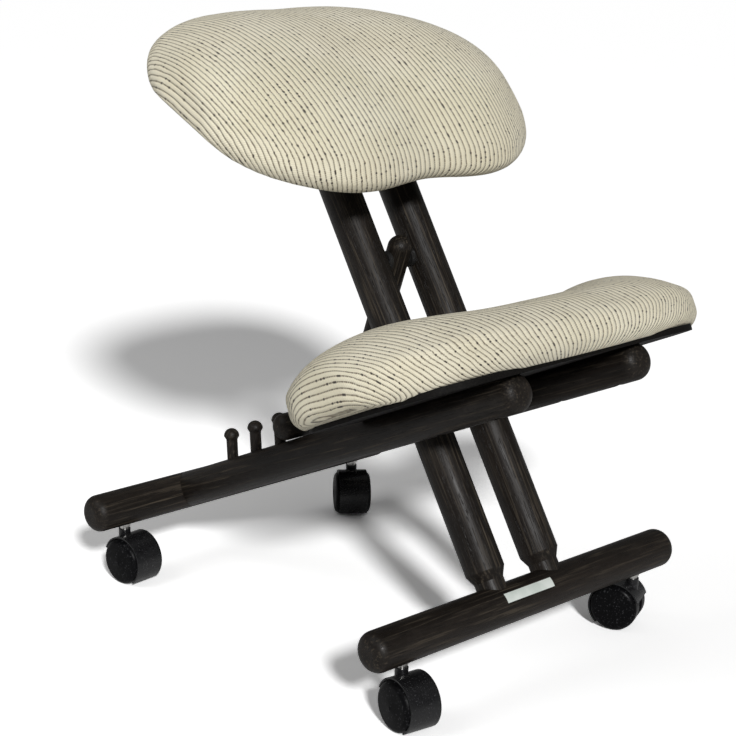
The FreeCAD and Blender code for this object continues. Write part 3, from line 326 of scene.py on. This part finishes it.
def moulded_plastic(name, grain_scale, low, high, rough_low, rough_high, gloss):
    """Black moulded plastic with a fine spark-eroded grain and painted glints: tiny pale specks in
    its colour.
    """
    plastic = Surface(name)
    place = plastic.place()
    grain = plastic.noise(place, scale=grain_scale, detail=3.0, roughness=0.6)
    # Painted glints: sparse pale specks in the colour stand in for sparkles of light on the grain
    glint_noise = plastic.noise(place, scale=grain_scale * 0.5, detail=1.0, roughness=0.5)
    painted_glints = plastic.smooth(glint_noise, start=0.64, end=0.69)
    scuffs = plastic.noise(place, scale=70.0, detail=4.0, roughness=0.6)
    colour = plastic.mix(plastic.smooth(grain, start=0.35, end=0.7), low, high)
    colour = plastic.mix(plastic.times(painted_glints, 0.5), colour, PLASTIC_PAINTED_GLINT)
    rough = plastic.ramp(scuffs, low=rough_low, high=rough_high, start=0.35, end=0.7)
    plastic.set(
        Base_Color=colour,
        Roughness=plastic.math("ADD", rough, plastic.times(painted_glints, 0.1)),
        Normal=plastic.bump(grain, distance=0.12 * MM, strength=0.55),
    )
    plastic.shader.inputs["Specular IOR Level"].default_value = gloss
    return plastic.material


def plated_steel():
    """Bright zinc-plated steel with fine turning marks and a few dull spots."""
    steel = Surface("steel")
    place = steel.place()
    drawn = steel.vector("MULTIPLY", place, (1.0, 1.0, 14.0))
    marks = steel.noise(drawn, scale=520.0, detail=2.0, roughness=0.5)
    mottling = steel.noise(place, scale=160.0, detail=4.0, roughness=0.6)
    spots = steel.smooth(mottling, start=0.5, end=0.75)
    rough = steel.ramp(marks, low=0.18, high=0.34, start=0.3, end=0.7)
    steel.set(
        Base_Color=steel.mix(spots, STEEL_BRIGHT, STEEL_DULL),
        Roughness=steel.math("ADD", rough, steel.times(spots, 0.15)),
        Normal=steel.bump(marks, distance=0.05 * MM, strength=0.4),
    )
    steel.shader.inputs["Metallic"].default_value = 1.0
    return steel.material


def bare_label():
    """Blank pale plate with a thin clear film over fine paper grain."""
    label = Surface("label")
    place = label.place()
    paper = label.noise(place, scale=900.0, detail=3.0, roughness=0.6)
    stain = label.noise(place, scale=60.0, detail=3.0, roughness=0.5)
    colour = label.mix(label.smooth(stain, start=0.3, end=0.75), LABEL_PALE, LABEL_STAIN)
    label.set(
        Base_Color=label.mix(label.times(paper, 0.3), colour, LABEL_PAPER),
        Roughness=label.ramp(paper, low=0.28, high=0.42, start=0.3, end=0.7),
        Normal=label.bump(paper, distance=0.05 * MM, strength=0.3),
    )
    label.shader.inputs["Coat Weight"].default_value = 0.4
    return label.material


def direction(node):
    """The long axis of a CAD node, as a unit vector, from the spread of its vertices."""
    points = [v.co for v in NODES[node].data.vertices]
    centre = sum(points, Vector()) / len(points)
    axis = AXIS_GUESS
    spread = Matrix(((0,) * 3,) * 3)
    for p in points:
        arm = p - centre
        for row in range(3):
            for column in range(3):
                spread[row][column] += arm[row] * arm[column]
    for _ in range(AXIS_ROUNDS):
        axis = (spread @ axis).normalized()
    return axis


def paint(node, material):
    mesh = NODES[node].data
    mesh.materials.clear()
    mesh.materials.append(material)


def deck(node):
    """(middle, upward normal) of a flat board's upper face."""
    mesh = NODES[node].data
    largest = max(mesh.polygons, key=lambda p: p.area if p.normal.z > UPWARD else 0.0)
    face = [p for p in mesh.polygons if p.normal.dot(largest.normal) > SAME_PLANE]
    area = sum(p.area for p in face)
    middle = sum((p.center * p.area for p in face), Vector()) / area
    return middle, largest.normal.copy()


def smoothstep(value, start, end):
    t = min(1.0, max(0.0, (value - start) / (end - start)))
    return t * t * (3 - 2 * t)


def evened(mesh, values, passes):
    """values, one per vertex, each drawn towards the mean of its neighbours a few times."""
    beside = [[] for _ in mesh.vertices]
    for edge in mesh.edges:
        first, second = edge.vertices
        beside[first].append(second)
        beside[second].append(first)
    for _ in range(passes):
        values = [
            (value + sum((values[i] for i in near), value * 0)) / (len(near) + 1)
            for value, near in zip(values, beside)
        ]
    return values


def swollen(piece, held):
    """Vertex places after pressure has filled the pad out, each moved no further than PAD_CAP."""
    start = [v.co.copy() for v in piece.data.vertices]
    group = piece.vertex_groups.new(name="held")
    for index, share in enumerate(held):
        if share > 0.0:
            group.add([index], share, "REPLACE")
    cloth = piece.modifiers.new("pressure", "CLOTH")
    cloth.settings.quality = CLOTH_QUALITY
    cloth.settings.mass = CLOTH_MASS
    cloth.settings.use_pressure = True
    cloth.settings.uniform_pressure_force = PAD_PRESSURE
    cloth.settings.vertex_group_mass = group.name
    cloth.settings.effector_weights.gravity = 0.0
    cloth.collision_settings.use_collision = False
    cloth.point_cache.frame_start = 1
    cloth.point_cache.frame_end = PAD_FRAMES
    scene = bpy.context.scene
    for number in range(1, PAD_FRAMES + 1):
        scene.frame_set(number)
    shaped = piece.evaluated_get(bpy.context.evaluated_depsgraph_get())
    end = [v.co.copy() for v in shaped.data.vertices]
    piece.modifiers.remove(cloth)
    piece.vertex_groups.remove(group)
    scene.frame_set(1)
    steps = []
    for before, after in zip(start, end):
        step = after - before
        if step.length > PAD_CAP:
            step *= PAD_CAP / step.length
        steps.append(step)
    steps = evened(piece.data, steps, SMOOTHING_PASSES)
    return [before + step for before, step in zip(start, steps)]


def rim_radius(points):
    """A function from a direction in the board's plane to the pad's widest reach that way."""
    reach = [0.0] * RIM_STEPS
    for x, y in points:
        step = int((math.atan2(y, x) / (2 * math.pi) % 1.0) * RIM_STEPS) % RIM_STEPS
        reach[step] = max(reach[step], math.hypot(x, y))

    def radius(x, y):
        turn = (math.atan2(y, x) / (2 * math.pi) % 1.0) * RIM_STEPS - 0.5
        first = math.floor(turn)
        share = turn - first
        return reach[first % RIM_STEPS] * (1 - share) + reach[(first + 1) % RIM_STEPS] * share

    return radius


def cushion(node, board, body):
    """A padded, covered cushion in place of the plain solid, with its rib places stored on it."""
    middle, normal = deck(board)
    source = NODES[node]
    piece = bpy.data.objects.new(node + "_padded", source.data.copy())
    bpy.context.scene.collection.objects.link(piece)
    bpy.context.view_layer.objects.active = piece
    piece.select_set(True)
    piece.data.remesh_voxel_size = PAD_GRID
    bpy.ops.object.voxel_remesh()
    mesh = piece.data

    tree = BVHTree.FromPolygons(
        [v.co for v in source.data.vertices], [tuple(p.vertices) for p in source.data.polygons]
    )
    on_solid = [tree.find_nearest(v.co)[0] for v in mesh.vertices]
    for vertex, place in zip(mesh.vertices, on_solid):
        vertex.co = place
    mesh.update()
    normals = evened(mesh, [v.normal.copy() for v in mesh.vertices], SMOOTHING_PASSES)
    heights = [(place - middle).dot(normal) for place in on_solid]
    free = [smoothstep(height, HELD_BELOW, FREE_ABOVE) for height in heights]
    for vertex, out, share in zip(mesh.vertices, normals, free):
        vertex.co -= out * PAD_SHRINK * share
    filled = swollen(piece, [1.0 - share for share in free])
    for vertex, place in zip(mesh.vertices, filled):
        vertex.co = place
    mesh.update()

    # Rib number across the pad and length along the ribs; under the rim both go on growing
    rearward = Vector((1, 0, 0)).cross(-normal)
    if rearward.y < 0:
        rearward = -rearward
    top = max(heights)
    flat = [((place - middle).x, (place - middle).dot(rearward)) for place in on_solid]
    radius = rim_radius(flat)
    rib_places = []
    for (x, back), height, out in zip(flat, heights, normals):
        drop = max(0.0, top - height)
        tucked = smoothstep(-out.dot(normal), TUCKED_NONE, TUCKED_ALL)
        reached = max(RIM_LEAST, math.hypot(x, back))
        growth = 1 + tucked * max(0.0, 2 * (radius(x, back) / reached - 1))
        x, back = x * growth, back * growth
        side_slope, end_slope = out.x ** 2, out.dot(rearward) ** 2
        sideways = side_slope / (side_slope + end_slope + FLAT_SLOPE)
        rib_places.append(Vector((
            x + math.copysign(drop * sideways, out.x),
            back + math.copysign(drop * (1 - sideways), out.dot(rearward)),
        )))
    rib_places = evened(mesh, rib_places, RIB_EVENING)
    across = mesh.attributes.new("across", "FLOAT", "POINT")
    along = mesh.attributes.new("along", "FLOAT", "POINT")
    for index, (side, back) in enumerate(rib_places):
        across.data[index].value = side
        along.data[index].value = back

    for polygon in mesh.polygons:
        polygon.use_smooth = True
    rounding = piece.modifiers.new("rounding", "SUBSURF")
    rounding.levels = 1
    rounding.render_levels = 1
    mesh.materials.clear()
    mesh.materials.append(FABRIC)
    piece.select_set(False)
    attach(piece, body)
    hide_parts(node)
    return piece


# Finishes of the carried-over pieces
FABRIC = ribbed_fabric()
BOARD = painted_board()
STEEL = plated_steel()
SPACER = moulded_plastic(
    "spacer_plastic", grain_scale=900.0, low=(0.010, 0.010, 0.010), high=(0.022, 0.021, 0.020),
    rough_low=0.38, rough_high=0.55, gloss=0.3,
)
HOOD = moulded_plastic(
    "caster_hood", grain_scale=1300.0, low=(0.0035, 0.0035, 0.004), high=(0.013, 0.013, 0.014),
    rough_low=0.20, rough_high=0.36, gloss=0.4,
)
WHEEL = moulded_plastic(
    "caster_wheel", grain_scale=1100.0, low=(0.002, 0.002, 0.0024), high=(0.0045, 0.0045, 0.005),
    rough_low=0.26, rough_high=0.42, gloss=0.07,
)
LABEL = bare_label()

WOODEN = (
    "front_bar", "rear_bar", "seat_strut_left", "seat_strut_right",
    "knee_rail_left", "knee_rail_right", "prop_strut", "prop_foot",
    "prop_pegs_left", "prop_pegs_right",
)
GRAIN_SHIFT = Vector((0.37, 0.21, 0.13))
PEG_NODES = ("prop_pegs_left", "prop_pegs_right")
for count, node in enumerate(WOODEN):
    axis = direction("prop_strut") if node in PEG_NODES else direction(node)
    paint(node, stained_wood("stained_wood_" + node, axis, GRAIN_SHIFT * count))
for node in ("seat_board", "knee_board"):
    paint(node, BOARD)
for node in ("pivot_spacers", "prop_spacers"):
    paint(node, SPACER)
for node in NODES:
    if node.startswith("caster_") and not node.startswith("caster_sockets"):
        if node.endswith("_hood"):
            paint(node, HOOD)
        elif "_wheel_" in node:
            paint(node, WHEEL)
        else:
            paint(node, STEEL)
for node in (
    "pivot_rod", "prop_pin", "seat_tee_nuts", "seat_bolts", "knee_tee_nuts", "knee_bolts",
    "caster_sockets_front", "caster_sockets_rear",
):
    paint(node, STEEL)
paint("label_plate", LABEL)

cushion("seat_cushion", "seat_board", "seat_frame")
cushion("knee_cushion", "knee_board", "knee_frame")


def background_share(surface):
    """1 where the picture or a view through glass looks at this surface."""
    rays = surface.add("LightPath")
    seen, through = rays.outputs["Is Camera Ray"], rays.outputs["Is Transmission Ray"]
    return surface.math("MAXIMUM", seen, through)


def make_floor():
    half = FLOOR_SIZE / 2
    mesh = bpy.data.meshes.new("floor")
    corners = [(-half, -half, 0), (half, -half, 0), (half, half, 0), (-half, half, 0)]
    mesh.from_pydata(corners, [], [(0, 1, 2, 3)])
    floor = bpy.data.objects.new("floor", mesh)
    bpy.context.scene.collection.objects.link(floor)
    pale = Surface("pale_floor")
    share = background_share(pale)
    pale.set(Base_Color=pale.mix(share, (FLOOR_PALE,) * 3, (FLOOR_WHITE,) * 3), Roughness=1.0)
    pale.shader.inputs["Specular IOR Level"].default_value = 0.0
    mesh.materials.append(pale.material)


def make_world():
    world = bpy.data.worlds.new("studio")
    world.use_nodes = True
    nodes, links = world.node_tree.nodes, world.node_tree.links
    rays = nodes.new("ShaderNodeLightPath")
    seen = nodes.new("ShaderNodeMapRange")
    seen.inputs["To Min"].default_value = FILL_STRENGTH
    seen.inputs["To Max"].default_value = BACKDROP_STRENGTH
    links.new(rays.outputs["Is Camera Ray"], seen.inputs["Value"])
    links.new(seen.outputs["Result"], nodes["Background"].inputs["Strength"])
    nodes["Background"].inputs["Color"].default_value = (1, 1, 1, 1)
    bpy.context.scene.world = world


def lamp_at(name, kind, towards, distance, power):
    lamp = bpy.data.lights.new(name, kind)
    lamp.energy = power
    holder = bpy.data.objects.new(name, lamp)
    bpy.context.scene.collection.objects.link(holder)
    aim = (cad_low + cad_high) / 2
    holder.location = aim + towards * distance
    holder.rotation_mode = "QUATERNION"
    holder.rotation_quaternion = (-towards).to_track_quat("-Z", "Y")
    return lamp


def make_camera():
    camera = bpy.data.cameras.new("camera")
    camera.lens = CAMERA_LENS
    camera.sensor_width = CAMERA_SENSOR
    camera.clip_start, camera.clip_end = CAMERA_CLIP
    holder = bpy.data.objects.new("camera", camera)
    bpy.context.scene.collection.objects.link(holder)
    az, el = CAMERA_AZIMUTH, CAMERA_ELEVATION
    back = Vector((math.sin(az) * math.cos(el), -math.cos(az) * math.cos(el), math.sin(el)))
    right = (-back).cross(Vector((0, 0, 1))).normalized()
    up = right.cross(-back)
    rolled_right = right * math.cos(CAMERA_ROLL) + up * math.sin(CAMERA_ROLL)
    rolled_up = up * math.cos(CAMERA_ROLL) - right * math.sin(CAMERA_ROLL)
    turn = Matrix((rolled_right, rolled_up, back)).transposed().to_4x4()
    holder.matrix_world = Matrix.Translation(CAMERA_PLACE) @ turn
    bpy.context.scene.camera = holder


make_floor()
make_world()
lamp_at("key", "SUN", KEY_DIRECTION, SIDE_DISTANCE, KEY_STRENGTH).angle = KEY_SOFTNESS
lamp_at("side", "AREA", SIDE_DIRECTION, SIDE_DISTANCE, SIDE_POWER).size = SIDE_SIZE
make_camera()
bpy.context.scene.view_settings.view_transform = "Standard"
